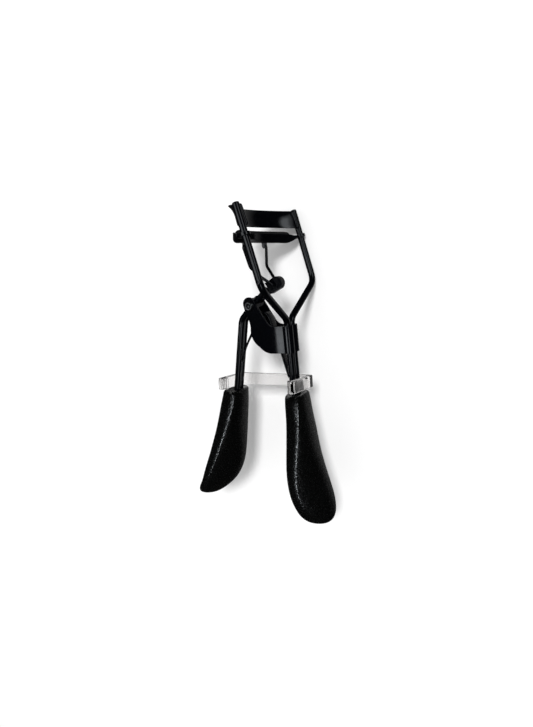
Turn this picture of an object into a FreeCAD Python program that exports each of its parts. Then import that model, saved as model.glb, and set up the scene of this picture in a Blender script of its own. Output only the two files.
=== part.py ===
import FreeCAD, Part
import math
import os

# Eyelash curler, millimetres, lying on its side.
# Working axes: X runs along the tool from the handles (-) to the jaws (+), Y points from the frame
# towards the lever, Z is the width of the jaws. The working origin is where the frame wires part
# into the lyre; export() moves everything so that the row origin is the centre of the base.

V = FreeCAD.Vector
os.makedirs("parts", exist_ok=True)

# ---- driving dimensions -------------------------------------------------------------------
WIRE_R = 1.0              # frame and lever wire, 2.0 mm diameter
PAIR_Z = 1.42             # half the spacing of the frame wires at the grip
LEVER_Z = 1.02            # half the spacing of the lever wires, side by side
LYRE_Z = 16.4             # half the spacing of the frame wires at the jaws
ROD_FOOT = (-46.3, 0.0)   # lower end of the frame wires inside the grip (x, y)
LYRE_ELBOW = (10.1, -1.5) # widest bend of the lyre (x, y)
ROD_TOP = (32.9, 3.72)     # upper end of the frame wires (x, y)
ROD_BEND_R = 3.2
ELBOW_BEND_R = 4.5

JAW_TILT = math.radians(7.4)   # the arc of the jaws rises this much towards its middle
JAW_CHORD = 16.0               # half the chord of the jaw arc
JAW_SAG = 8.5                  # height of the arc over its chord
PLATE_T = 0.8
PLATE_TOP = (32.54, 3.64)      # chord of the plate's upper edge on the rods (x, y)
PLATE_FOOT = (27.07, 2.39)     # chord of the plate's lower edge on the rods
BEAD_R = 0.62                   # braze beads at the ends of the plate
LIP_FLARE = 1.6                # how far the upper edge of the plate is rolled outward

GUIDE = (24.7, 1.85)      # centre of the guide eyelets of the lower jaw on the rods (x, y)
GUIDE_R = 1.55
GUIDE_H = 0.8
GUIDE_CLEAR = 0.08
CHANNEL_W = 4.1           # width of the lower jaw channel, across the arc
CHANNEL_LOW = -2.3        # underside and rim of the channel, measured from the guide plane
CHANNEL_RIM = 0.45
CHANNEL_REACH = 15.2      # half length of the channel across the tool
CHANNEL_TAPER = 12.7      # where its ends begin to thin out towards the eyelets
CHANNEL_END_LOW = -1.0    # underside and rim at the very ends
CHANNEL_END_RIM = 0.1
GROOVE_REACH = 13.0       # half length of the pad groove
SHEET = 0.5               # sheet metal of the lower jaw
PAD_W = 2.9
PAD_REACH = 12.8
PAD_TOP = 1.2             # top of the pad over the guide plane

PIVOT = (4.8, 11.9)       # hinge rivet (x, y)
RIVET_R = 0.95
RIVET_HEAD_R = 1.6
RIVET_HEAD_H = 0.6
CHEEK_IN = 2.56           # inner faces of the bracket cheeks, from the middle plane
CHEEK_T = 0.5
CHEEK_R = 2.1             # round top of the cheeks, centred CHEEK_RISE above the rivet
CHEEK_RISE = 0.6
BEND_Y = 5.0              # the cheeks are drawn in below this line, down to
CREASE = (1.05, 2.62)     # the crease beside the frame wires (y, z)
WRAP_TOP = -1.8           # upper and lower end of the bracket on the frame wires (x)
WRAP_FOOT = -10.1
FIT = 0.05                # running fit of a shaft in its hole, radial

LEVER_BEND = (0.4, 16.5)  # bend of the lever wires below the hinge (x, y)
LEVER_SLOPE = 0.2227      # the lever leans away from the frame
LEVER_FOOT_X = -48.0
LEVER_TIP = (9.25, 5.85)  # upper end of the lever wires behind the connector (x, y)
EYE_R = 2.3               # eyes of the lever wires round the rivet
EYE_GAP = 0.25            # side play between the eyes and the cheeks

YOKE_R = 0.45             # yoke wire, 0.9 mm diameter
YOKE_LOW = (10.5, 3.5, 1.65)   # cross bar of the yoke in the connector, and where it turns up
YOKE_WAIST = (13.2, 6.2, 3.5)
YOKE_KNEE = (16.3, 8.75, 4.8)
YOKE_TOP = (22.5, 9.25, 6.6)   # upper ends of the yoke, turned inward into the jaw lugs
YOKE_END = 1.75           # length of the turned ends
LUG_R = 0.8               # ears of the jaw that carry the yoke
LUG_T = 0.5
LUG_INSET = 0.82          # from the yoke's corner to the outer face of the ear
YOKE_SLACK = 0.12         # play of the cross bar in the connector, radial
CONNECTOR_T = 0.35
CONNECTOR_Z = 1.0         # half the width of the connector
CONNECTOR_RIM = 0.42      # raised rim round its sunken cheeks
CONNECTOR_SUNK = 0.12

SPRING_T = 0.4
SPRING_WIDE = 3.0         # width of the spring leaf at the frame
SPRING_TIP = 0.7          # and at its end between the lever wires

CLIP_TOP = -17.7          # upper edge of the retainer clip (x)
CLIP_H = 3.8
CLIP_Z = 7.0              # half the width of the clip
CLIP_FRAME_Y = (-3.2, -1.3)   # end wall outside the frame wires
CLIP_LEVER_Y = (22.85, 24.8)   # end wall outside the lever wires
CLIP_BAR_T = 1.3
CLIP_TILT = 6.0           # the loose clip hangs a little askew, degrees

GRIP_RIM_R = 0.95         # rounding of the upper edge of the grips
# stations of the grips: x, middle y, half depth in y, half width in z; the crest of the widest
# line lies off the middle by GRIP_CREST at the foot of the grip, towards +Y, and fades upward
GRIP_CREST = 3.0
CREST_FROM = -33.0
CREST_TO = -55.0
FRAME_GRIP = [
    (-23.3, -0.42, 3.2, 4.8), (-29.0, -0.55, 3.75, 5.25), (-34.0, -0.75, 4.2, 5.6),
    (-39.0, -0.85, 4.7, 6.0), (-44.0, -1.0, 5.2, 6.35), (-49.0, -1.4, 5.75, 6.65),
    (-54.0, -2.1, 6.2, 6.8), (-57.6, -2.8, 6.3, 6.75), (-60.8, -3.55, 5.85, 6.35),
    (-63.6, -4.3, 4.8, 5.5), (-65.5, -4.9, 3.4, 4.2), (-66.6, -5.3, 1.9, 2.5),
    (-67.1, -5.45, 0.8, 1.1),
]
LEVER_GRIP = [
    (-22.95, 22.7, 3.7, 4.95), (-27.0, 23.75, 4.1, 5.25), (-31.0, 24.8, 4.5, 5.55),
    (-35.0, 25.9, 4.85, 5.85), (-39.0, 27.05, 5.3, 6.1), (-43.0, 28.3, 5.75, 6.3),
    (-47.0, 29.65, 6.15, 6.4), (-51.0, 31.3, 6.35, 6.4), (-55.0, 33.35, 6.15, 6.2),
    (-58.2, 35.45, 5.55, 5.75), (-60.9, 37.8, 4.8, 5.1), (-63.0, 39.55, 3.7, 4.1),
    (-64.3, 40.6, 2.3, 2.7), (-64.8, 41.0, 1.0, 1.2),
]

# the row origin in the working axes: centre of the base of the bounding box
ORIGIN = V(-16.63, 16.276, -17.95)


# ---- helpers --------------------------------------------------------------------------------
def export(name, shape):
    """Moves a finished piece into the row frame and writes it."""
    moved = shape.copy()
    moved.translate(ORIGIN * -1)
    moved.exportStep("parts/" + name + ".step")


def rounded_path(points, radii):
    """Polyline through points with every inner corner rounded to its radius."""
    edges = []
    last = points[0]
    for i in range(1, len(points) - 1):
        corner, r = points[i], radii[i - 1]
        a = (points[i - 1] - corner).normalize()
        b = (points[i + 1] - corner).normalize()
        half = a.getAngle(b) / 2
        cut = r / math.tan(half)
        start, end = corner + a * cut, corner + b * cut
        centre = corner + (a + b).normalize() * (r / math.sin(half))
        middle = centre + (corner - centre).normalize() * r
        edges.append(Part.LineSegment(last, start).toShape())
        edges.append(Part.Arc(start, middle, end).toShape())
        last = end
    edges.append(Part.LineSegment(last, points[-1]).toShape())
    return Part.Wire(edges)


def wire_rod(points, radii, r):
    """Round wire bent along a rounded path."""
    path = rounded_path(points, radii)
    ring = Part.Wire(Part.makeCircle(r, points[0], points[1] - points[0]))
    return path.makePipeShell([ring], True, False)


def mirror_z(shape):
    return shape.mirror(V(0, 0, 0), V(0, 0, 1))


def cylinder_z(x, y, r, z0, z1):
    return Part.makeCylinder(r, z1 - z0, V(x, y, z0), V(0, 0, 1))


def box(x0, x1, y0, y1, z0, z1):
    return Part.makeBox(x1 - x0, y1 - y0, z1 - z0, V(x0, y0, z0))


def fillet_all(shape, r, keep):
    """Rounds the edges for which keep(edge) is true."""
    return shape.makeFillet(r, [e for e in shape.Edges if keep(e)])


# ---- the arc of the jaws ----------------------------------------------------------------------
JAW_OUT = V(math.sin(JAW_TILT), math.cos(JAW_TILT), 0)    # from the chord towards the arc's middle
JAW_UP = V(math.cos(JAW_TILT), -math.sin(JAW_TILT), 0)    # square to the plane of the arc


def arc_radius(sag):
    return (JAW_CHORD ** 2 + sag ** 2) / (2 * sag)


def arc_edge(foot, sag, offset, reach):
    """Arc over the chord at foot, moved outward by offset, between z = -reach and z = reach."""
    radius = arc_radius(sag)
    centre = V(foot[0], foot[1], 0) + JAW_OUT * (sag - radius)
    turn = math.asin(reach / (radius + offset))

    def at(angle):
        spoke = JAW_OUT * math.cos(angle) + V(0, 0, 1) * math.sin(angle)
        return centre + spoke * (radius + offset)

    return Part.Arc(at(-turn), at(0), at(turn)).toShape()


def arc_strip(foot, sag, inner, outer, reach):
    """Closed outline of a strip that follows the arc."""
    a = arc_edge(foot, sag, inner, reach)
    b = arc_edge(foot, sag, outer, reach)
    a0, a1 = a.Vertexes[0].Point, a.Vertexes[-1].Point
    b0, b1 = b.Vertexes[0].Point, b.Vertexes[-1].Point
    return Part.Wire(Part.__sortEdges__([
        a, Part.LineSegment(a1, b1).toShape(), b, Part.LineSegment(b0, a0).toShape(),
    ]))


def arc_solid(foot, low, high, inner, outer, reach):
    """Curved bar of rectangular section on the jaw arc, from low to high over the guide plane."""
    base = arc_strip(foot, JAW_SAG, inner, outer, reach)
    base.translate(JAW_UP * low)
    return Part.Face(base).extrude(JAW_UP * (high - low))


# ---- frame ------------------------------------------------------------------------------------
def frame_rod():
    points = [
        V(ROD_FOOT[0], ROD_FOOT[1], PAIR_Z), V(0, 0, PAIR_Z),
        V(LYRE_ELBOW[0], LYRE_ELBOW[1], LYRE_Z), V(ROD_TOP[0], ROD_TOP[1], LYRE_Z),
    ]
    rod = wire_rod(points, [ROD_BEND_R, ELBOW_BEND_R], WIRE_R)
    top = [e for e in rod.Edges if (e.BoundBox.XMin + e.BoundBox.XMax) / 2 > ROD_TOP[0] - 0.3
           and e.Length < 7 and len(e.Vertexes) == 1]
    return rod.makeFillet(0.35, top) if top else rod


def upper_jaw(rods):
    """Curved plate between the rods; its upper edge is rolled outward, most in the middle."""
    sections = []
    for share, flare in ((0.0, 0.0), (0.45, 0.0), (0.7, 0.16), (0.88, 0.55), (1.0, 1.0)):
        foot = [PLATE_FOOT[i] + (PLATE_TOP[i] - PLATE_FOOT[i]) * share for i in (0, 1)]
        sag = JAW_SAG + LIP_FLARE * flare
        sections.append(arc_strip(foot, sag, -PLATE_T, 0.0, LYRE_Z - WIRE_R - 0.05))
    plate = Part.makeLoft(sections, True, False)
    for rod in rods:
        plate = plate.cut(rod)
    return plate


def jaw_weld(rod, plate):
    """Braze bead in the corner between the end of the plate and the rod."""
    low = V(PLATE_FOOT[0] + 0.5, PLATE_FOOT[1] - 0.45, LYRE_Z - 1.3)
    high = V(PLATE_TOP[0] - 0.5, PLATE_TOP[1] - 0.45, LYRE_Z - 1.3)
    bead = Part.makeCylinder(BEAD_R, (high - low).Length, low, high - low)
    for end in (low, high):
        bead = bead.fuse(Part.makeSphere(BEAD_R, end))
    return bead.cut(rod).cut(plate).removeSplitter()


# ---- lower jaw --------------------------------------------------------------------------------
CHANNEL_MID = 0.0      # middle of the channel, measured from the outer face of the plate


def channel_section(z, centre, radius):
    """Section of the channel across the arc: flat rim, rounded underside, thinner at the ends."""
    share = max(0.0, (abs(z) - CHANNEL_TAPER) / (CHANNEL_REACH - CHANNEL_TAPER))
    low = CHANNEL_LOW + (CHANNEL_END_LOW - CHANNEL_LOW) * share ** 1.6
    rim = CHANNEL_RIM + (CHANNEL_END_RIM - CHANNEL_RIM) * share
    angle = math.asin(z / radius)
    spoke = JAW_OUT * math.cos(angle) + V(0, 0, 1) * math.sin(angle)
    middle = centre + spoke * (radius + CHANNEL_MID)
    half = CHANNEL_W / 2
    r = min(1.05, (rim - low) * 0.42)
    slant = r * (1 - math.sqrt(0.5))

    def at(across, up):
        return middle + spoke * across + JAW_UP * up

    return Part.Wire([
        Part.LineSegment(at(-half, rim), at(half, rim)).toShape(),
        Part.LineSegment(at(half, rim), at(half, low + r)).toShape(),
        Part.Arc(at(half, low + r), at(half - slant, low + slant), at(half - r, low)).toShape(),
        Part.LineSegment(at(half - r, low), at(r - half, low)).toShape(),
        Part.Arc(at(r - half, low), at(slant - half, low + slant), at(-half, low + r)).toShape(),
        Part.LineSegment(at(-half, low + r), at(-half, rim)).toShape(),
    ])


def lower_jaw():
    """Channel on the jaw arc, with a rounded underside, thinner ends and a groove for the pad."""
    half = CHANNEL_W / 2
    radius = arc_radius(JAW_SAG)
    centre = V(GUIDE[0], GUIDE[1], 0) + JAW_OUT * (JAW_SAG - radius)
    stops = [CHANNEL_REACH * k / 12.0 for k in range(-12, 13)]
    body = Part.makeLoft([channel_section(z, centre, radius) for z in stops], True, False)
    groove = arc_solid(GUIDE, CHANNEL_LOW + SHEET + 0.3, CHANNEL_RIM + 1,
                       CHANNEL_MID - half + SHEET, CHANNEL_MID + half - SHEET, GROOVE_REACH)
    return body.cut(groove)


def jaw_guide(rod):
    """Eyelet of the lower jaw round a rod, with the flat tab that joins it to the channel."""
    direction = V(ROD_TOP[0] - LYRE_ELBOW[0], ROD_TOP[1] - LYRE_ELBOW[1], 0).normalize()
    centre = V(GUIDE[0], GUIDE[1], LYRE_Z)
    low = centre - direction * (GUIDE_H / 2)
    ring = Part.makeCylinder(GUIDE_R, GUIDE_H, low, direction)
    tab = arc_solid(GUIDE, -0.4, 0.15, CHANNEL_MID - 0.95, CHANNEL_MID + 1.15, 15.9)
    tab = tab.common(box(0, 60, -30, 60, 15.0, 15.9))
    bore = Part.makeCylinder(WIRE_R + GUIDE_CLEAR, GUIDE_H * 4, centre - direction * GUIDE_H * 2, direction)
    return ring.fuse(tab).cut(bore).cut(lower_jaw()).removeSplitter()


def lash_pad():
    """Soft bar in the groove of the lower jaw, crowned on top."""
    half = PAD_W / 2
    bar = arc_solid(GUIDE, CHANNEL_LOW + SHEET + 0.3, PAD_TOP, CHANNEL_MID - half, CHANNEL_MID + half, PAD_REACH)
    top = [e for e in bar.Edges if e.Length > 20
           and (e.CenterOfMass - V(GUIDE[0], GUIDE[1], 0)).dot(JAW_UP) > PAD_TOP - 0.2]
    return bar.makeFillet(0.7, top)


def yoke_lug(channel):
    """Folded ear under the lower jaw that carries one end of the yoke."""
    x, y, z = YOKE_TOP
    z1 = z - LUG_INSET
    z0 = z1 - LUG_T
    hole = cylinder_z(x, y, YOKE_R + FIT, z0 - 1, z1 + 1)
    ear = cylinder_z(x, y, LUG_R, z0, z1)
    neck = box(x, x + 3.2, y - LUG_R, y + LUG_R, z0, z1)
    return ear.fuse(neck).cut(hole).cut(channel).cut(channel_core()).removeSplitter()


def channel_core():
    """Everything inside the channel's outline, so that nothing grows through its floor."""
    half = CHANNEL_W / 2 - 0.3
    return arc_solid(GUIDE, CHANNEL_LOW + 0.5, 6, CHANNEL_MID - half, CHANNEL_MID + half, 15.0)


# ---- yoke -------------------------------------------------------------------------------------
def yoke():
    """One bent wire: cross bar in the connector, two legs, ends turned inward into the lugs."""
    end = V(YOKE_TOP[0], YOKE_TOP[1], YOKE_TOP[2] - YOKE_END)
    side = [end] + [V(*p) for p in (YOKE_TOP, YOKE_KNEE, YOKE_WAIST, YOKE_LOW)]
    other = [V(p.x, p.y, -p.z) for p in reversed(side)]
    radii = [0.55, 2.5, 2.0, 0.55]
    return wire_rod(side + other, radii + radii[::-1], YOKE_R)


# ---- hinge bracket ----------------------------------------------------------------------------
def cheek_outline():
    """Outline of a cheek in the X-Y plane, from the frame wires to the hinge and back."""
    cx, cy = PIVOT[0] + CHEEK_RISE, PIVOT[1]

    def on_head(degrees):
        a = math.radians(degrees)
        return V(cx + CHEEK_R * math.cos(a), cy + CHEEK_R * math.sin(a), 0)

    head_in, head_top, head_out = on_head(-72), on_head(15), on_head(108)
    inner_low = V(WRAP_TOP, 3.78, 0)
    inner_side = V(-0.41, 6.19, 0)
    waist = V(2.1, 13.35, 0)
    knee = V(-2.2, 12.2, 0)
    belly = V(-8.0, 9.6, 0)
    foot = V(WRAP_FOOT, 5.6, 0)
    return Part.Wire([
        Part.LineSegment(V(WRAP_TOP, 0, 0), inner_low).toShape(),
        Part.Arc(inner_low, V(-1.42, 5.18, 0), inner_side).toShape(),
        Part.LineSegment(inner_side, head_in).toShape(),
        Part.Arc(head_in, head_top, head_out).toShape(),
        Part.LineSegment(head_out, waist).toShape(),
        Part.Arc(waist, V(0.2, 12.45, 0), knee).toShape(),
        Part.Arc(knee, V(-6.0, 11.55, 0), belly).toShape(),
        Part.Arc(belly, V(-9.5, 7.8, 0), foot).toShape(),
        Part.LineSegment(foot, V(WRAP_FOOT, 0, 0)).toShape(),
        Part.LineSegment(V(WRAP_FOOT, 0, 0), V(WRAP_TOP, 0, 0)).toShape(),
    ])


def cheek_profile():
    """Section of the near cheek across the tool: flat, then drawn in towards the frame wires."""
    z = CHEEK_IN + CHEEK_T
    drop = z - CREASE[1]
    far = V(WRAP_FOOT, 30, z)
    bend = [V(WRAP_FOOT, CREASE[0] + (BEND_Y - CREASE[0]) * t, z - drop * (1 - t) ** 2)
            for t in (1.0, 0.8, 0.6, 0.4, 0.2, 0.0)]
    outer = Part.BSplineCurve()
    outer.interpolate(bend)
    down = V(0, 0, -CHEEK_T)
    inner = outer.toShape().translated(down)
    return Part.Wire([
        Part.LineSegment(far, bend[0]).toShape(), outer.toShape(),
        Part.LineSegment(bend[-1], bend[-1] + down).toShape(), inner,
        Part.LineSegment(bend[0] + down, far + down).toShape(),
        Part.LineSegment(far + down, far).toShape(),
    ])


def hinge_bracket():
    """Folded sheet: wrapped round the frame wires, with two cheeks that carry the rivet."""
    reach = PIVOT[0] + 6 - WRAP_FOOT
    sheet = Part.Face(cheek_profile()).extrude(V(reach, 0, 0))
    outline = Part.Face(cheek_outline()).extrude(V(0, 0, 9))
    cheek = sheet.common(outline)
    outer = CHEEK_IN + CHEEK_T - PAIR_Z
    length = WRAP_TOP - WRAP_FOOT
    wrap = None
    for side in (1, -1):
        tube = Part.makeCylinder(outer, length, V(WRAP_FOOT, 0, side * PAIR_Z), V(1, 0, 0))
        wrap = tube if wrap is None else wrap.fuse(tube)
    middle = box(WRAP_FOOT, WRAP_TOP, 0, outer, -PAIR_Z, PAIR_Z)
    wrap = wrap.common(box(WRAP_FOOT, WRAP_TOP, -outer, CREASE[0] + 0.1, -9, 9)).cut(middle)
    for side in (1, -1):
        wrap = wrap.cut(Part.makeCylinder(WIRE_R, length, V(WRAP_FOOT, 0, side * PAIR_Z), V(1, 0, 0)))
    body = cheek.fuse([mirror_z(cheek), wrap]).removeSplitter()
    return body.cut(cylinder_z(PIVOT[0], PIVOT[1], RIVET_R, -9, 9))


def pivot_rivet():
    """Shank with two rolled heads, each with a rim and a shallow dimple."""
    z = CHEEK_IN + CHEEK_T
    outline = [
        (0, 0), (RIVET_R, 0), (RIVET_R, z), (RIVET_HEAD_R, z), (RIVET_HEAD_R, z + 0.25),
        (RIVET_HEAD_R - 0.2, z + RIVET_HEAD_H - 0.1), (RIVET_HEAD_R - 0.45, z + RIVET_HEAD_H),
        (0.75, z + RIVET_HEAD_H - 0.05), (0.5, z + 0.3), (0, z + 0.25), (0, 0),
    ]
    ring = Part.makePolygon([V(PIVOT[0] + r, PIVOT[1], h) for r, h in outline])
    half = Part.Face(ring).revolve(V(PIVOT[0], PIVOT[1], 0), V(0, 0, 1), 360)
    return half.fuse(mirror_z(half)).removeSplitter()


# ---- lever ------------------------------------------------------------------------------------
def lever_rod():
    foot_y = LEVER_BEND[1] + (LEVER_BEND[0] - LEVER_FOOT_X) * LEVER_SLOPE
    points = [
        V(LEVER_FOOT_X, foot_y, LEVER_Z), V(LEVER_BEND[0], LEVER_BEND[1], LEVER_Z),
        V(PIVOT[0], PIVOT[1], LEVER_Z), V(LEVER_TIP[0], LEVER_TIP[1], LEVER_Z),
    ]
    rod = wire_rod(points, [4.0, 5.0], WIRE_R)
    eye = cylinder_z(PIVOT[0], PIVOT[1], EYE_R, LEVER_Z - WIRE_R + 0.1, CHEEK_IN - EYE_GAP)
    hole = cylinder_z(PIVOT[0], PIVOT[1], RIVET_R + FIT, -9, 9)
    return rod.fuse(eye).cut(hole).removeSplitter()


def connector_outline(shrink):
    """Side view of the connector: straight rear edge on the lever wires, round nose at the yoke."""
    rear_high, rear_low = V(11.2, 6.7, 0), V(7.9, 4.85, 0)
    nose = V(10.95, 2.75, 0)
    r = 2.0 - shrink

    def on_nose(degrees):
        a = math.radians(degrees)
        return V(nose.x + r * math.cos(a), nose.y + r * math.sin(a), 0)

    inward = V(nose.x - rear_low.x, nose.y - rear_low.y, 0).normalize() * (shrink * 0.8)
    high, low = rear_high + V(-shrink, 0, 0), rear_low + inward + V(shrink * 0.8, shrink * 0.4, 0)
    return Part.Wire([
        Part.LineSegment(high, on_nose(38)).toShape(),
        Part.Arc(on_nose(38), on_nose(-50), on_nose(-142)).toShape(),
        Part.LineSegment(on_nose(-142), low).toShape(),
        Part.LineSegment(low, high).toShape(),
    ])


def connector_clip(rods):
    """Narrow folded sheet on the lever's upper end; its two cheeks carry the yoke's cross bar."""
    outer = Part.Face(connector_outline(0.0))
    outer.translate(V(0, 0, -CONNECTOR_Z))
    body = outer.extrude(V(0, 0, 2 * CONNECTOR_Z))
    inner = Part.Face(connector_outline(CONNECTOR_T))
    inner.translate(V(0, 0, -CONNECTOR_Z + CONNECTOR_T))
    body = body.cut(inner.extrude(V(0, 0, 2 * (CONNECTOR_Z - CONNECTOR_T))))
    body = body.cut(cylinder_z(YOKE_LOW[0], YOKE_LOW[1], YOKE_R + YOKE_SLACK, -9, 9))
    field = Part.Face(connector_outline(CONNECTOR_RIM))
    field.translate(V(0, 0, CONNECTOR_Z - CONNECTOR_SUNK))
    field = field.extrude(V(0, 0, 1))
    body = body.cut(field).cut(mirror_z(field))
    for rod in rods:
        body = body.cut(rod)
    return body.removeSplitter()


# ---- spring -----------------------------------------------------------------------------------
def return_spring():
    """V-shaped leaf in the middle plane, wide against the frame wires and narrow at the lever."""
    points = [
        V(-18.0, 1.32, 0), V(-11.0, 3.0, 0), V(-4.0, 4.75, 0), V(0.9, 6.35, 0), V(2.35, 7.75, 0),
        V(1.3, 9.35, 0), V(-1.6, 11.75, 0), V(-4.6, 14.1, 0), V(-9.2, 17.0, 0), V(-13.6, 18.55, 0),
    ]
    curve = Part.BSplineCurve()
    curve.interpolate(points)
    count = 44
    sections = []
    first, last = curve.FirstParameter, curve.LastParameter
    for i in range(count + 1):
        t = first + (last - first) * i / count
        p = curve.value(t)
        tangent = curve.tangent(t)[0]
        side = V(-tangent.y, tangent.x, 0).normalize() * (SPRING_T / 2)
        share = i / count
        taper = max(0.0, (share - 0.45) / 0.55)
        width = SPRING_WIDE + (SPRING_TIP - SPRING_WIDE) * min(1.0, taper * 1.15)
        w = V(0, 0, width / 2)
        sections.append(Part.makePolygon([p + side + w, p + side - w, p - side - w, p - side + w, p + side + w]))
    return Part.makeLoft(sections, True, True)


# ---- retainer clip ----------------------------------------------------------------------------
def retainer_clip():
    """Clear three-sided clip: a bar on one side, an end wall and a short lip round each handle."""
    y0, y1 = CLIP_FRAME_Y[0], CLIP_LEVER_Y[1]
    x0, x1 = CLIP_TOP - CLIP_H, CLIP_TOP
    block = box(x0, x1, y0, y1, -CLIP_Z, CLIP_Z)
    block = fillet_all(block, 1.1, lambda e: abs(e.BoundBox.XLength - CLIP_H) < 0.01)
    inside = box(x0 - 1, x1 + 1, CLIP_FRAME_Y[1], CLIP_LEVER_Y[0], -CLIP_Z + CLIP_BAR_T, CLIP_Z + 1)
    shell = block.cut(inside)
    for y in (CLIP_FRAME_Y[1], CLIP_LEVER_Y[0] - 0.9):
        lip = box(x0, x1, y, y + 0.9, CLIP_Z - 2.2, CLIP_Z - 0.9)
        shell = shell.fuse(lip)
    shell = shell.removeSplitter()
    shell.rotate(V(CLIP_TOP - CLIP_H / 2, 0, CLIP_Z), V(0, 1, 0), CLIP_TILT)
    return shell


# ---- grips ------------------------------------------------------------------------------------
def grip(stations, rods, squareness):
    """Moulded handle lofted through rounded sections, with the wires cast in."""
    sections = []
    count = 24
    for x, mid, depth, width in stations:
        share = min(1.0, max(0.0, (x - CREST_FROM) / (CREST_TO - CREST_FROM)))
        crest = GRIP_CREST * share * share * (3 - 2 * share) * min(1.0, width / 5.5)
        points = []
        for i in range(count):
            a = 2 * math.pi * i / count + math.pi / 2
            c, s = math.cos(a), math.sin(a)
            k = (abs(c) ** squareness + abs(s) ** squareness) ** (-1.0 / squareness)
            lean = crest * ((k * s) ** 2 - 0.3)
            points.append(V(x, mid + depth * k * c + lean, width * k * s))
        ring = Part.BSplineCurve()
        ring.interpolate(points, PeriodicFlag=True)
        sections.append(Part.Wire(ring.toShape()))
    body = Part.makeLoft(sections, True, False)
    top = stations[0][0]
    rim = [e for e in body.Edges if abs(e.BoundBox.XMin - top) < 0.01 and abs(e.BoundBox.XMax - top) < 0.01]
    body = body.makeFillet(GRIP_RIM_R, rim)
    for rod in rods:
        body = body.cut(rod)
    return body


# ---- build ------------------------------------------------------------------------------------
def main():
    rod = frame_rod()
    rods = [rod, mirror_z(rod)]
    lever = lever_rod()
    levers = [lever, mirror_z(lever)]
    plate = upper_jaw(rods)
    channel = lower_jaw()
    weld, guide, lug = jaw_weld(rod, plate), jaw_guide(rod), yoke_lug(channel)

    for name, piece in (("frame_rod", rod), ("lever_rod", lever), ("jaw_weld", weld),
                        ("jaw_guide", guide), ("yoke_lug", lug)):
        export(name + "_near", piece)
        export(name + "_far", mirror_z(piece))
    export("upper_jaw", plate)
    export("hinge_bracket", hinge_bracket())
    export("pivot_rivet", pivot_rivet())
    export("connector_clip", connector_clip(levers))
    export("yoke", yoke())
    export("lower_jaw", channel)
    export("lash_pad", lash_pad())
    export("return_spring", return_spring())
    export("retainer_clip", retainer_clip())
    export("frame_grip", grip(FRAME_GRIP, rods, 2.25))
    export("lever_grip", grip(LEVER_GRIP, levers, 2.25))


main()
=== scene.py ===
import math

import bmesh
import bpy
import numpy as np
from mathutils import Matrix, Vector


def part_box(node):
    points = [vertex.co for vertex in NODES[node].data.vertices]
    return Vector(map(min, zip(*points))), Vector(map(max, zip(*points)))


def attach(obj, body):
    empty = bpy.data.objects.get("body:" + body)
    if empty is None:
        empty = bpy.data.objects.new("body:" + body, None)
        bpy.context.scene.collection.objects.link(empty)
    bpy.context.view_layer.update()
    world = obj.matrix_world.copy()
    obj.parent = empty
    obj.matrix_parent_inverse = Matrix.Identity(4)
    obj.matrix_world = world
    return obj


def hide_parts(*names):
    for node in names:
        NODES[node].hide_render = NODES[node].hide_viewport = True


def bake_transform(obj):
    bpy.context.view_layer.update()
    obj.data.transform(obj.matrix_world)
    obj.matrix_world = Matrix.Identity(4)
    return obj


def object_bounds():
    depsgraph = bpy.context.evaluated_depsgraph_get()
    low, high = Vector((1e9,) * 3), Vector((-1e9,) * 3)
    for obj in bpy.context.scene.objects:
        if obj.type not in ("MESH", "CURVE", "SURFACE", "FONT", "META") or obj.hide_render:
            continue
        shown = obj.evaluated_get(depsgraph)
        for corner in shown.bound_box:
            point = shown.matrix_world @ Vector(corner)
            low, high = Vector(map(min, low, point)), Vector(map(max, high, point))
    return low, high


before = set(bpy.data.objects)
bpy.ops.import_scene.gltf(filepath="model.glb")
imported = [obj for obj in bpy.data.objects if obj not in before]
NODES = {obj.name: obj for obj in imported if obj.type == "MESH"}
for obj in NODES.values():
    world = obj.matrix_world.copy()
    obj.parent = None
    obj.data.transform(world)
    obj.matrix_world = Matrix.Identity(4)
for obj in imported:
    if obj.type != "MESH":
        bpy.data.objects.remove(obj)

CAD_LO, CAD_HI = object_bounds()
MM = 0.001
MID_Z = (CAD_LO.z + CAD_HI.z) / 2
CENTRE = (CAD_LO + CAD_HI) / 2
scene = bpy.context.scene


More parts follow.
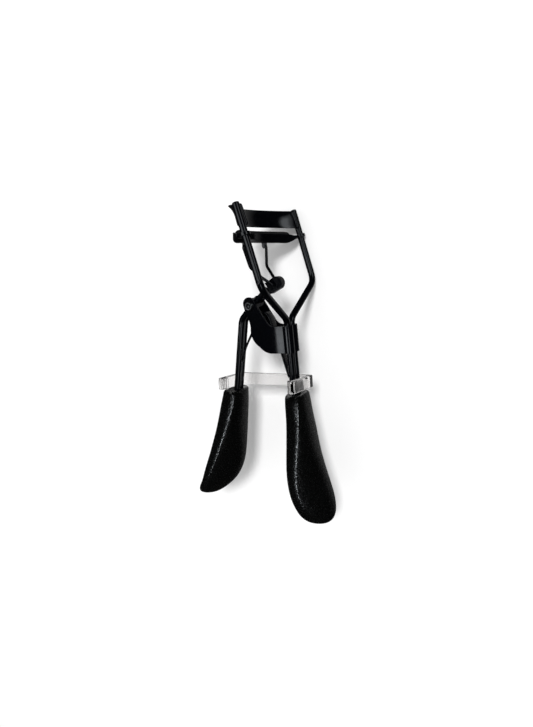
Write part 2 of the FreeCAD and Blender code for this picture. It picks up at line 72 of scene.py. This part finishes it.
# ---- material helpers -----------------------------------------------------------------------
class Mat:
    """A node material with a principled shader, and short ways to add nodes to it.

    Textures read the object's own coordinates in millimetres, so a scale is in features per
    millimetre. Bump layers stack in the order in which they are added."""

    def __init__(self, name, **sockets):
        self.mat = bpy.data.materials.new(name)
        self.mat.use_nodes = True
        self.tree = self.mat.node_tree
        self.bsdf = self.tree.nodes["Principled BSDF"]
        for key, value in sockets.items():
            self.bsdf.inputs[key.replace("_", " ")].default_value = value
        coords = self.node("ShaderNodeTexCoord")
        millimetres = self.node("ShaderNodeMapping", coords.outputs["Object"])
        millimetres.inputs["Scale"].default_value = (1 / MM, 1 / MM, 1 / MM)
        self.point = millimetres.outputs["Vector"]
        self.normal = None

    def link(self, source, target):
        self.tree.links.new(source, target)

    def node(self, kind, *sources, **props):
        """Adds a node; each source is a socket to link, a constant, or None to leave it alone."""
        new = self.tree.nodes.new(kind)
        for key, value in props.items():
            setattr(new, key, value)
        for i, source in enumerate(sources):
            if source is None:
                continue
            if isinstance(source, bpy.types.NodeSocket):
                self.link(source, new.inputs[i])
            else:
                new.inputs[i].default_value = source
        return new

    def stretched(self, x, y, z):
        """The coordinates scaled along each axis, for streaks."""
        scaled = self.node("ShaderNodeMapping", self.point)
        scaled.inputs["Scale"].default_value = (x, y, z)
        return scaled.outputs["Vector"]

    def noise(self, scale, detail=3.0, rough=0.5, at=None, distort=0.0):
        texture = self.node("ShaderNodeTexNoise", at or self.point)
        texture.inputs["Scale"].default_value = scale
        texture.inputs["Detail"].default_value = detail
        texture.inputs["Roughness"].default_value = rough
        texture.inputs["Distortion"].default_value = distort
        return texture.outputs["Fac"]

    def cells(self, scale):
        texture = self.node("ShaderNodeTexVoronoi", self.point, feature="F1")
        texture.inputs["Scale"].default_value = scale
        return texture.outputs["Distance"]

    def remap(self, value, start, end, low=0.0, high=1.0):
        """Maps start..end to low..high, and stays at those ends outside."""
        return self.node("ShaderNodeMapRange", value, start, end, low, high).outputs["Result"]

    def math(self, operation, a, b=None):
        return self.node("ShaderNodeMath", a, b, operation=operation).outputs[0]

    def mix(self, factor, a, b):
        blend = self.tree.nodes.new("ShaderNodeMix")
        blend.data_type = "RGBA"
        for identifier, value in (("Factor_Float", factor), ("A_Color", a), ("B_Color", b)):
            target = next(i for i in blend.inputs if i.identifier == identifier)
            if isinstance(value, bpy.types.NodeSocket):
                self.link(value, target)
            else:
                target.default_value = value
        return next(o for o in blend.outputs if o.identifier == "Result_Color")

    def colour(self, value):
        self.link(value, self.bsdf.inputs["Base Color"])

    def rough(self, value):
        self.link(value, self.bsdf.inputs["Roughness"])

    def use_normal(self, normal):
        self.normal = normal
        self.link(normal, self.bsdf.inputs["Normal"])

    def edges(self, radius):
        """Rounds the look of sharp edges; radius in millimetres."""
        bevel = self.node("ShaderNodeBevel", samples=6)
        bevel.inputs["Radius"].default_value = radius * MM
        self.use_normal(bevel.outputs["Normal"])

    def bump(self, height, strength, distance):
        """Adds a bump layer; distance in millimetres."""
        layer = self.node("ShaderNodeBump")
        layer.inputs["Strength"].default_value = strength
        layer.inputs["Distance"].default_value = distance * MM
        self.link(height, layer.inputs["Height"])
        if self.normal is not None:
            self.link(self.normal, layer.inputs["Normal"])
        self.use_normal(layer.outputs["Normal"])


def grey(value, warm=0.0):
    """A grey, a little redder than blue where warm is above 0."""
    return (value * (1 + warm), value, value * (1 - warm), 1.0)


def lacquer(name, base, rough, peel, edge=0.0):
    """Black stove paint on metal: soft orange peel, faint dust, paint worn thin in places."""
    m = Mat(name, Specular_IOR_Level=0.5)
    if edge:
        m.edges(edge)
    cloud = m.noise(0.35, 3)
    paler = tuple(1.6 * value for value in base)
    tone = m.mix(m.remap(cloud, 0.3, 0.7), (*base, 1), (*paler, 1))
    dust = m.remap(m.noise(9.0, 1, 0.5), 0.76, 0.82, 0.0, 0.3)
    tone = m.mix(dust, tone, grey(0.004))
    thin = m.remap(m.noise(0.9, 5, 0.7), 0.66, 0.74)
    specks = m.remap(m.noise(6.0, 2), 0.5, 0.7)
    worn = m.math("MULTIPLY", thin, specks)
    tone = m.mix(m.math("MULTIPLY", worn, 0.5), tone, grey(0.02, 0.04))
    m.colour(tone)
    m.rough(m.remap(m.noise(1.1, 4, 0.6), 0.3, 0.7, *rough))
    m.bump(m.noise(0.7, 2, 0.4), 0.6, peel)
    return m.mat


def rivet_paint(name):
    """Black paint on the rivet, with a grey painted highlight on its rolled ring and on the dot of its
    head, made patchy by a noise.
    """
    lo, hi = (Vector(corner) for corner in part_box("pivot_rivet"))
    axis = (lo + hi) / (2 * MM)
    m = Mat(name, Specular_IOR_Level=0.5)
    shift = m.node("ShaderNodeVectorMath", m.point, tuple(-axis), operation="ADD")
    flat = m.node("ShaderNodeVectorMath", shift.outputs[0], (1, 1, 0), operation="MULTIPLY")
    radius = m.node("ShaderNodeVectorMath", flat.outputs[0], operation="LENGTH").outputs["Value"]
    ring = m.math("MULTIPLY", m.remap(radius, 0.72, 0.86), m.remap(radius, 1.22, 1.08))
    dot = m.remap(radius, 0.34, 0.24)
    # the grey put on the ring and the dot is a painted highlight; the noise below only makes it patchy
    highlight_patchiness = m.remap(m.noise(1.4, 3), 0.3, 0.55, 0.35, 1.0)
    painted_highlight = m.math("MULTIPLY", m.math("ADD", ring, dot), highlight_patchiness)
    m.colour(m.mix(painted_highlight, grey(0.0012, -0.1), grey(0.05, -0.05)))
    m.rough(m.remap(m.noise(2.0, 3), 0.3, 0.7, 0.16, 0.24))
    m.bump(ring, 0.6, 0.05)
    return m.mat


# crest of each grip, seen from above: points (x, y) in millimetres and the degree of the curve
# that runs smoothly along them
CRESTS = {
    "frame_grip": ([(-7.2, -18.9), (-13.2, -18.9), (-19.4, -18.5), (-25.9, -17.8), (-32.5, -17.1),
                    (-38.4, -17.6), (-43.5, -19.6), (-46.6, -22.2)], 4),
    "lever_grip": ([(-7.3, 4.0), (-12.0, 5.6), (-19.0, 8.1), (-24.2, 11.0), (-30.5, 14.5),
                    (-37.2, 17.9), (-43.0, 21.4)], 2),
}
CREST_SOFTNESS = 3.0
CREST_SLOPE = 0.42
CREST_SKEW = 0.7


def crest_bump(m, points, degree):
    """A soft ridge along a curve; its -Y side falls away faster than its +Y side."""
    curve = np.polyfit([x for x, _ in points], [y for _, y in points], degree)
    place = m.node("ShaderNodeSeparateXYZ", m.point)
    line = m.math("MULTIPLY", place.outputs["X"], curve[0])
    for term in curve[1:-1]:
        line = m.math("MULTIPLY", m.math("ADD", line, term), place.outputs["X"])
    line = m.math("ADD", line, curve[-1])
    off = m.math("SUBTRACT", place.outputs["Y"], line)
    away = m.math("SQRT", m.math("ADD", m.math("MULTIPLY", off, off), CREST_SOFTNESS ** 2))
    skew = m.math("MULTIPLY", m.math("MINIMUM", off, 0.0), -CREST_SKEW)
    m.bump(m.math("MULTIPLY", m.math("ADD", away, skew), -1.0), 1.0, CREST_SLOPE)


def grip_plastic(name, crest):
    """Moulded satin plastic with a spark-eroded grain and a soft feature line along its crest."""
    m = Mat(name, Specular_IOR_Level=0.5)
    crest_bump(m, *crest)
    cloud = m.noise(0.12, 3)
    tone = m.mix(m.remap(cloud, 0.3, 0.7), grey(0.0003, -0.05), grey(0.0007, -0.05))
    pores = m.cells(1.7)
    tone = m.mix(m.remap(pores, 0.1, 0.6, 0.0, 0.6), tone, (0.001, 0.0013, 0.0012, 1))
    m.colour(tone)
    m.rough(m.remap(m.noise(2.4, 3, 0.7), 0.35, 0.65, 0.18, 0.3))
    glint = m.remap(m.noise(1.7, 2, 0.8), 0.4, 0.6, 0.12, 1.0)
    m.link(glint, m.bsdf.inputs["Specular IOR Level"])
    m.bump(pores, 0.6, 0.07)
    m.bump(m.noise(3.2, 2, 0.6), 0.6, 0.06)
    return m.mat


def clear_plastic(name):
    """Clear moulded acrylic with faint flow lines and handling scratches."""
    m = Mat(name, Transmission_Weight=1.0, IOR=1.47, Specular_IOR_Level=0.5)
    flow = m.noise(0.4, 3, 0.5, at=m.stretched(1, 0.25, 1), distort=0.6)
    m.colour(m.mix(m.remap(flow, 0.3, 0.7), (0.905, 0.89, 0.885, 1), (0.955, 0.945, 0.94, 1)))
    scratch = m.remap(m.noise(3.0, 2, at=m.stretched(0.3, 6, 1)), 0.64, 0.7)
    m.rough(m.remap(scratch, 0, 1, 0.02, 0.1))
    m.bump(flow, 0.15, 0.02)
    return m.mat


def rubber(name):
    """Matt black silicone with a powdery skin."""
    m = Mat(name, Specular_IOR_Level=0.4)
    m.colour(m.mix(m.noise(0.8, 4), grey(0.004), grey(0.008)))
    m.rough(m.remap(m.noise(3, 3), 0.3, 0.7, 0.5, 0.65))
    m.bump(m.noise(5.5, 3, 0.6), 0.5, 0.012)
    return m.mat


BLUE_BLACK = (0.0002, 0.0003, 0.0008)
MATERIALS = {
    "black_lacquer": lacquer("black_lacquer", BLUE_BLACK, (0.13, 0.19), 0.004),
    "black_sheet": lacquer("black_sheet", BLUE_BLACK, (0.12, 0.17), 0.003, edge=0.16),
    "rivet_black": rivet_paint("rivet_black"),
    "spring_steel": lacquer("spring_steel", (0.0003, 0.0005, 0.0012), (0.24, 0.3), 0.004),
    "pad_rubber": rubber("pad_rubber"),
    "grip_plastic": grip_plastic("grip_plastic", CRESTS["frame_grip"]),
    "clear_plastic": clear_plastic("clear_plastic"),
}


def dress(obj, slot, material=None):
    """Gives an object the finish of a slot, or another material of the same kind."""
    obj.data.materials.clear()
    obj.data.materials.append(material or MATERIALS[slot])


SLOT_OF = {
    "frame_rod_near": "black_lacquer", "frame_rod_far": "black_lacquer",
    "lever_rod_near": "black_lacquer", "lever_rod_far": "black_lacquer",
    "jaw_weld_near": "black_lacquer", "jaw_weld_far": "black_lacquer",
    "jaw_guide_near": "black_lacquer", "jaw_guide_far": "black_lacquer",
    "yoke_lug_near": "black_sheet", "yoke_lug_far": "black_sheet",
    "upper_jaw": "black_sheet", "hinge_bracket": "black_sheet",
    "connector_clip": "black_sheet", "lower_jaw": "black_sheet",
    "pivot_rivet": "rivet_black", "yoke": "black_lacquer",
    "frame_grip": "grip_plastic", "lever_grip": "grip_plastic",
}
for node_name, slot_name in SLOT_OF.items():
    dress(NODES[node_name], slot_name)
LEVER_PLASTIC = grip_plastic("grip_plastic_lever", CRESTS["lever_grip"])
dress(NODES["lever_grip"], "grip_plastic", LEVER_PLASTIC)


# ---- pieces made here ------------------------------------------------------------------------
def loft_mesh(name, rings):
    """Closed skin through rings of points, each ring with the same number of points."""
    count = len(rings[0])
    verts = [tuple(point) for ring in rings for point in ring]
    faces = []
    for i in range(len(rings) - 1):
        for j in range(count):
            k = (j + 1) % count
            faces.append((i * count + j, i * count + k, (i + 1) * count + k, (i + 1) * count + j))
    last = (len(rings) - 1) * count
    faces.append(tuple(reversed(range(count))))
    faces.append(tuple(last + j for j in range(count)))
    mesh = bpy.data.meshes.new(name)
    mesh.from_pydata(verts, [], faces)
    bm = bmesh.new()
    bm.from_mesh(mesh)
    bmesh.ops.recalc_face_normals(bm, faces=bm.faces)
    bm.to_mesh(mesh)
    bm.free()
    for poly in mesh.polygons:
        poly.use_smooth = len(poly.vertices) == 4
    obj = bpy.data.objects.new(name, mesh)
    scene.collection.objects.link(obj)
    return obj


def superellipse(angle, power):
    """Factor that turns a unit circle into a rounder or a squarer closed curve."""
    return (abs(math.cos(angle)) ** power + abs(math.sin(angle)) ** power) ** (-1 / power)


# the silicone pad: same seat and same reach as its CAD solid, with a crowned top and round ends
JAW_TILT = math.radians(7.4)
JAW_OUT = np.array([math.sin(JAW_TILT), math.cos(JAW_TILT), 0.0])
JAW_UP = np.array([math.cos(JAW_TILT), -math.sin(JAW_TILT), 0.0])
pad_points = np.array([v.co for v in NODES["lash_pad"].data.vertices])
pad_out, pad_up, pad_z = pad_points @ JAW_OUT, pad_points @ JAW_UP, pad_points[:, 2] - MID_Z


def arc_spread(centre):
    """How far the pad's points are from lying on one arc round the centre."""
    radius = np.hypot(pad_out - centre, pad_z)
    return radius.max() - radius.min()


ARC_RADIUS_RANGE = (12 * MM, 30 * MM)
guesses = np.linspace(pad_out.max() - ARC_RADIUS_RANGE[1], pad_out.max() - ARC_RADIUS_RANGE[0], 721)
ARC_CENTRE = min(guesses, key=arc_spread)
arc_r = np.hypot(pad_out - ARC_CENTRE, pad_z)
R_IN, R_OUT = arc_r.min(), arc_r.max()
U_LOW, U_TOP = pad_up.min(), pad_up.max()
REACH = np.abs(np.arctan2(pad_z, pad_out - ARC_CENTRE)).max()
ROUND_END = 1.5 * MM
END_WIDTH, END_HEIGHT = 0.35, 0.55
PAD_POWER_LOW, PAD_POWER_TOP = 3.6, 2.7
PAD_RINGS, PAD_RING_POINTS = 72, 28


def pad_ring(angle):
    """Section of the pad square to the arc: straight flanks, crowned top, eased near the ends."""
    left = min(1.0, (REACH - abs(angle)) * R_IN / ROUND_END)
    ease = math.sqrt(1 - (1 - left) ** 2)
    half = (R_OUT - R_IN) / 2 * (END_WIDTH + (1 - END_WIDTH) * ease)
    top = U_LOW + (U_TOP - U_LOW) * (END_HEIGHT + (1 - END_HEIGHT) * ease)
    ring = []
    for i in range(PAD_RING_POINTS):
        turn = 2 * math.pi * i / PAD_RING_POINTS
        c, s = math.cos(turn), math.sin(turn)
        k = superellipse(turn, PAD_POWER_LOW if s < 0 else PAD_POWER_TOP)
        r = (R_IN + R_OUT) / 2 + half * k * c
        u = (U_LOW + top) / 2 + (top - U_LOW) / 2 * k * s
        p = JAW_OUT * (ARC_CENTRE + r * math.cos(angle)) + JAW_UP * u
        ring.append((p[0], p[1], MID_Z + r * math.sin(angle)))
    return ring


# rings lie closer together towards both ends
even = np.linspace(-1, 1, PAD_RINGS)
sweep = 0.65 * even + 0.35 * np.sin(even * math.pi / 2)
PAD_END_SHARE = 0.999
pad = loft_mesh("silicone_pad", [pad_ring(REACH * share * PAD_END_SHARE) for share in sweep])
dress(pad, "pad_rubber")
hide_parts("lash_pad")
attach(pad, "lower_jaw")

# the return spring: a tapered leaf that bends between the frame wires and the lever wires; its
# points and those of the clip are in millimetres from one origin, found from the CAD spring
spring_lo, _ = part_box("return_spring")
SPRING_X, SPRING_Y = spring_lo[0] + 18.05 * MM, spring_lo[1] - 1.126 * MM
LEAF = [(-18.0, 1.32), (-11.0, 3.0), (-4.0, 4.75), (0.9, 6.35), (2.35, 7.75), (1.3, 9.35),
        (-1.6, 11.75), (-4.6, 14.1), (-9.2, 17.0), (-13.6, 18.55)]
LEAF_STEPS = 10
LEAF_THICK = 0.4
LEAF_WIDE, LEAF_TIP = 3.0, 0.7
TAPER_FROM, TAPER_OVER = 0.45, 0.48
LEAF_POWER = 5
LEAF_RING_POINTS = 16
LEAF_RING_TURN = 0.2


def smooth_path(points, steps):
    """Catmull-Rom curve through the points."""
    p = [np.array(point, float) for point in points]
    p = [2 * p[0] - p[1]] + p + [2 * p[-1] - p[-2]]
    path = []
    for i in range(1, len(p) - 2):
        slope = p[i + 1] - p[i - 1]
        bend = 2 * p[i - 1] - 5 * p[i] + 4 * p[i + 1] - p[i + 2]
        twist = 3 * p[i] - p[i - 1] - 3 * p[i + 1] + p[i + 2]
        for j in range(steps):
            t = j / steps
            path.append(0.5 * (2 * p[i] + slope * t + bend * t * t + twist * t ** 3))
    path.append(p[-2])
    return path


def leaf_ring(spine, i):
    """Section of the leaf at one point of its spine: flat, with rounded edges."""
    along = spine[min(i + 1, len(spine) - 1)] - spine[max(i - 1, 0)]
    along /= np.linalg.norm(along)
    across = np.array([-along[1], along[0]])
    share = i / (len(spine) - 1)
    taper = min(1.0, max(0.0, (share - TAPER_FROM) / TAPER_OVER))
    half = (LEAF_WIDE + (LEAF_TIP - LEAF_WIDE) * taper) / 2
    ring = []
    for a in range(LEAF_RING_POINTS):
        turn = 2 * math.pi * a / LEAF_RING_POINTS + LEAF_RING_TURN
        k = superellipse(turn, LEAF_POWER)
        x, y = spine[i] + across * (LEAF_THICK / 2 * k * math.sin(turn))
        z = half * k * math.cos(turn)
        ring.append((SPRING_X + x * MM, SPRING_Y + y * MM, MID_Z + z * MM))
    return ring


leaf_spine = smooth_path(LEAF, LEAF_STEPS)
leaf = loft_mesh("spring_leaf", [leaf_ring(leaf_spine, i) for i in range(len(leaf_spine))])
dress(leaf, "spring_steel")
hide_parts("return_spring")
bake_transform(leaf)

# the retainer clip: the CAD outline with moulded radii and bevelled rims
CLIP_TOP, CLIP_H, CLIP_Z = -17.7, 3.8, 7.0
CLIP_Y = (-3.2, -1.3, 22.85, 24.8)
CLIP_BAR = 1.3
CLIP_LIP = (0.9, 4.8, 6.1)
CLIP_TILT = math.radians(6.0)
CLIP_RIM = 0.24
CLIP_SHARP = math.radians(35)


def rounded_outline(corners, steps=5):
    """Polygon with each corner (x, y, radius) turned into a small curve."""
    outline = []
    for i, (x, y, radius) in enumerate(corners):
        corner = np.array([x, y])
        a = np.array(corners[i - 1][:2]) - corner
        b = np.array(corners[(i + 1) % len(corners)][:2]) - corner
        a, b = a / np.linalg.norm(a), b / np.linalg.norm(b)
        half_angle = math.acos(max(-1, min(1, float(a @ b)))) / 2
        cut = radius / math.tan(half_angle)
        start, end = corner + a * cut, corner + b * cut
        pull = 0.75 * corner + 0.125 * (start + end)
        for j in range(steps + 1):
            t = j / steps
            outline.append((1 - t) ** 2 * start + 2 * t * (1 - t) * pull + t * t * end)
    return outline


lip, lip_low, lip_high = CLIP_LIP
y0, y1, y2, y3 = CLIP_Y
z0, z1 = -CLIP_Z, CLIP_Z
clip_outline = rounded_outline([
    (y0, z0, 1.1), (y3, z0, 1.1), (y3, z1, 0.7), (y2, z1, 0.5), (y2, lip_high, 0.2),
    (y2 - lip, lip_high, 0.3), (y2 - lip, lip_low, 0.3), (y2, lip_low, 0.2),
    (y2, z0 + CLIP_BAR, 0.6), (y1, z0 + CLIP_BAR, 0.6), (y1, lip_low, 0.2),
    (y1 + lip, lip_low, 0.3), (y1 + lip, lip_high, 0.3), (y1, lip_high, 0.2),
    (y1, z1, 0.5), (y0, z1, 0.7),
])


def clip_solid(outline):
    """Mesh of the clip: the outline raised by its height, with bevelled rims, tilted in place."""
    bm = bmesh.new()
    low_face = bm.faces.new([bm.verts.new((CLIP_TOP - CLIP_H, y, z)) for y, z in outline])
    extruded = bmesh.ops.extrude_face_region(bm, geom=[low_face])
    high_verts = [g for g in extruded["geom"] if isinstance(g, bmesh.types.BMVert)]
    bmesh.ops.translate(bm, verts=high_verts, vec=(CLIP_H, 0, 0))
    rims = [e for e in bm.edges if abs(e.verts[0].co.x - e.verts[1].co.x) < 1e-6]
    bmesh.ops.bevel(bm, geom=rims, offset=CLIP_RIM, segments=3, profile=0.5, affect="EDGES")
    bmesh.ops.recalc_face_normals(bm, faces=bm.faces)
    mesh = bpy.data.meshes.new("clear_clip")
    bm.to_mesh(mesh)
    bm.free()
    hinge_line = Vector((CLIP_TOP - CLIP_H / 2, 0, CLIP_Z))
    for step in (
        Matrix.Translation(-hinge_line),
        Matrix.Rotation(CLIP_TILT, 4, "Y"),
        Matrix.Translation(hinge_line),
        Matrix.Diagonal((MM, MM, MM, 1)),
        Matrix.Translation((SPRING_X, SPRING_Y, MID_Z)),
    ):
        mesh.transform(step)
    for poly in mesh.polygons:
        poly.use_smooth = True
    mesh.set_sharp_from_angle(angle=CLIP_SHARP)
    return mesh


clip = bpy.data.objects.new("clear_clip", clip_solid(clip_outline))
scene.collection.objects.link(clip)
dress(clip, "clear_plastic")
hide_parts("retainer_clip")
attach(clip, "retainer_clip")

# ---- stage ------------------------------------------------------------------------------------
FLOOR_HALF = 3.0
FLOOR_GAP = 0.1 * MM
floor_mesh = bpy.data.meshes.new("floor")
floor_corners = [(x * FLOOR_HALF, y * FLOOR_HALF, 0) for x, y in ((-1, -1), (1, -1), (1, 1), (-1, 1))]
floor_mesh.from_pydata(floor_corners, [], [(0, 1, 2, 3)])
floor = bpy.data.objects.new("floor", floor_mesh)
scene.collection.objects.link(floor)
floor.location.z = CAD_LO.z - FLOOR_GAP
paper = Mat("paper", Specular_IOR_Level=0.2)
paper.colour(paper.mix(paper.noise(0.02, 2), grey(0.91), grey(0.93)))
paper.rough(paper.remap(paper.noise(0.5, 3), 0.3, 0.7, 0.7, 0.85))
paper.bump(paper.noise(2.0, 3), 0.1, 0.02)
floor.data.materials.append(paper.mat)
floor.visible_glossy = False


def turned(x, y, z):
    """Rotation that takes the axes to three square directions."""
    return Matrix((x, y, z)).transposed().to_4x4()


DAYLIGHT = (0.9, 0.95, 1.0)


def soft_box(name, direction, distance, along, size, radiance, at=CENTRE, tint=DAYLIGHT):
    """A soft box seen from a point in a direction; size is its length along a vector and its width."""
    length, width = size
    data = bpy.data.lights.new(name, "AREA")
    data.shape = "RECTANGLE"
    data.size, data.size_y = length, width
    data.energy = radiance * math.pi * length * width
    data.color = tint
    light = bpy.data.objects.new(name, data)
    z = Vector(direction).normalized()
    x = (Vector(along) - z * Vector(along).dot(z)).normalized()
    light.matrix_world = Matrix.Translation(at + z * distance) @ turned(x, z.cross(x), z)
    scene.collection.objects.link(light)
    return light


def only_for(light, *objects):
    """The light falls on these objects only, and only as a highlight."""
    light.visible_diffuse = False
    light.visible_camera = False
    group = bpy.data.collections.new(light.name + "_on")
    for obj in objects:
        group.objects.link(obj)
    light.light_linking.receiver_collection = group


# the key makes the soft shadow; it is kept out of reflections
KEY_DIRECTION = (0.53, -0.375, 1.0)
KEY_DISTANCE = 6.0
KEY_SIZE = (1.4, 1.4)
KEY_RADIANCE = 44.0
key = soft_box("key", KEY_DIRECTION, KEY_DISTANCE, (1, 0, 0), KEY_SIZE, KEY_RADIANCE, tint=(1, 1, 1))
key.visible_glossy = False

# the boxes that draw the highlights on the black paint: name, direction, long side, size, radiance
METAL_WORK = [NODES[n] for n in SLOT_OF if "grip" not in n] + [pad, leaf]
BOX_DISTANCE = 0.6
for box_name, direction, along, size, radiance in (
    ("box_top", (0.17, -0.02, 0.98), (0.1, 1, 0), (0.90, 0.16), 1.9),
    ("box_fold", (-0.15, 0.16, 0.96), (0, 1, 0), (0.18, 0.07), 3.6),
    ("box_low", (-0.33, -0.60, 0.72), (1, 0, 0), (0.26, 0.13), 2.4),
    ("box_plate", (0.44, -0.82, 0.36), (1, 0.5, 0), (0.26, 0.24), 0.8),
    ("box_plate_core", (0.44, -0.84, 0.33), (1, 0.5, 0), (0.15, 0.13), 1.3),
):
    only_for(soft_box(box_name, direction, BOX_DISTANCE, along, size, radiance), *METAL_WORK)

# a row of close strips over each grip, which draws the highlight along its crest; in millimetres
STRIP_WIDTH = 3 * MM
for strip_name, node_name, path, radiance in (
    ("strip_lever", "lever_grip",
     [(-38, -24, 68), (-41, 6, 79), (-48, 33, 74), (-57, 44, 69)], 30.0),
    ("strip_frame", "frame_grip",
     [(-23, -61, 64), (-35, -34, 79), (-46, -11, 80), (-56, -5, 78), (-68, 0, 74)], 28.0),
):
    grip_lo, grip_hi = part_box(node_name)
    grip_centre = (Vector(grip_lo) + Vector(grip_hi)) / 2
    for i in range(len(path) - 1):
        a, b = Vector(path[i]) * MM, Vector(path[i + 1]) * MM
        middle = (a + b) / 2
        size = ((b - a).length, STRIP_WIDTH)
        facing = middle - grip_centre
        strip = soft_box(strip_name + str(i), facing, 0.0, b - a, size, radiance, at=middle)
        only_for(strip, NODES[node_name])

# the sky: pale for the floor and the camera, and nearly black in the paint, with a glow from below
world = bpy.data.worlds.new("studio")
scene.world = world
world.use_nodes = True
sky = world.node_tree
background = sky.nodes["Background"]
background.inputs["Color"].default_value = (1, 1, 1, 1)
rays = sky.nodes.new("ShaderNodeLightPath")
geometry = sky.nodes.new("ShaderNodeNewGeometry")
split = sky.nodes.new("ShaderNodeSeparateXYZ")
sky.links.new(geometry.outputs["Position"], split.inputs[0])


def sky_ramp(start, end, low, high):
    """Strength that goes from low to high as a ray's upward part goes from start to end."""
    ramp = sky.nodes.new("ShaderNodeMapRange")
    sky.links.new(split.outputs["Z"], ramp.inputs["Value"])
    for socket, value in (("From Min", start), ("From Max", end), ("To Min", low), ("To Max", high)):
        ramp.inputs[socket].default_value = value
    return ramp.outputs["Result"]


pick = sky.nodes.new("ShaderNodeMix")
sky.links.new(rays.outputs["Is Glossy Ray"], pick.inputs["Factor"])
sky.links.new(sky_ramp(0.1, 0.4, 0.95, 0.58), pick.inputs["A"])
sky.links.new(sky_ramp(-0.96, -0.66, 0.3, 0.012), pick.inputs["B"])
sky.links.new(pick.outputs["Result"], background.inputs["Strength"])

# ---- camera -----------------------------------------------------------------------------------
# a short lens close above the tool, given by its place and its right and up directions
CAM_AT = Vector((0.0315658, -0.0771253, 0.1313613))
CAM_RIGHT = Vector((-0.1036986, -0.8563461, -0.5058833))
CAM_UP = Vector((0.9717421, 0.0212065, -0.2350907))
SENSOR, LENS = 36.0, 21.1056
NEAR_CLIP = 5 * MM
camera_data = bpy.data.cameras.new("camera")
camera_data.sensor_width = SENSOR
camera_data.lens = LENS
camera_data.clip_start = NEAR_CLIP
camera = bpy.data.objects.new("camera", camera_data)
scene.collection.objects.link(camera)
back = CAM_RIGHT.cross(CAM_UP).normalized()
camera.matrix_world = Matrix.Translation(CAM_AT) @ turned(CAM_RIGHT, CAM_UP, back)
scene.camera = camera

scene.view_settings.view_transform = "Standard"
scene.view_settings.look = "None"
scene.view_settings.exposure = 0.0
scene.view_settings.gamma = 1.0

bpy.context.view_layer.update()
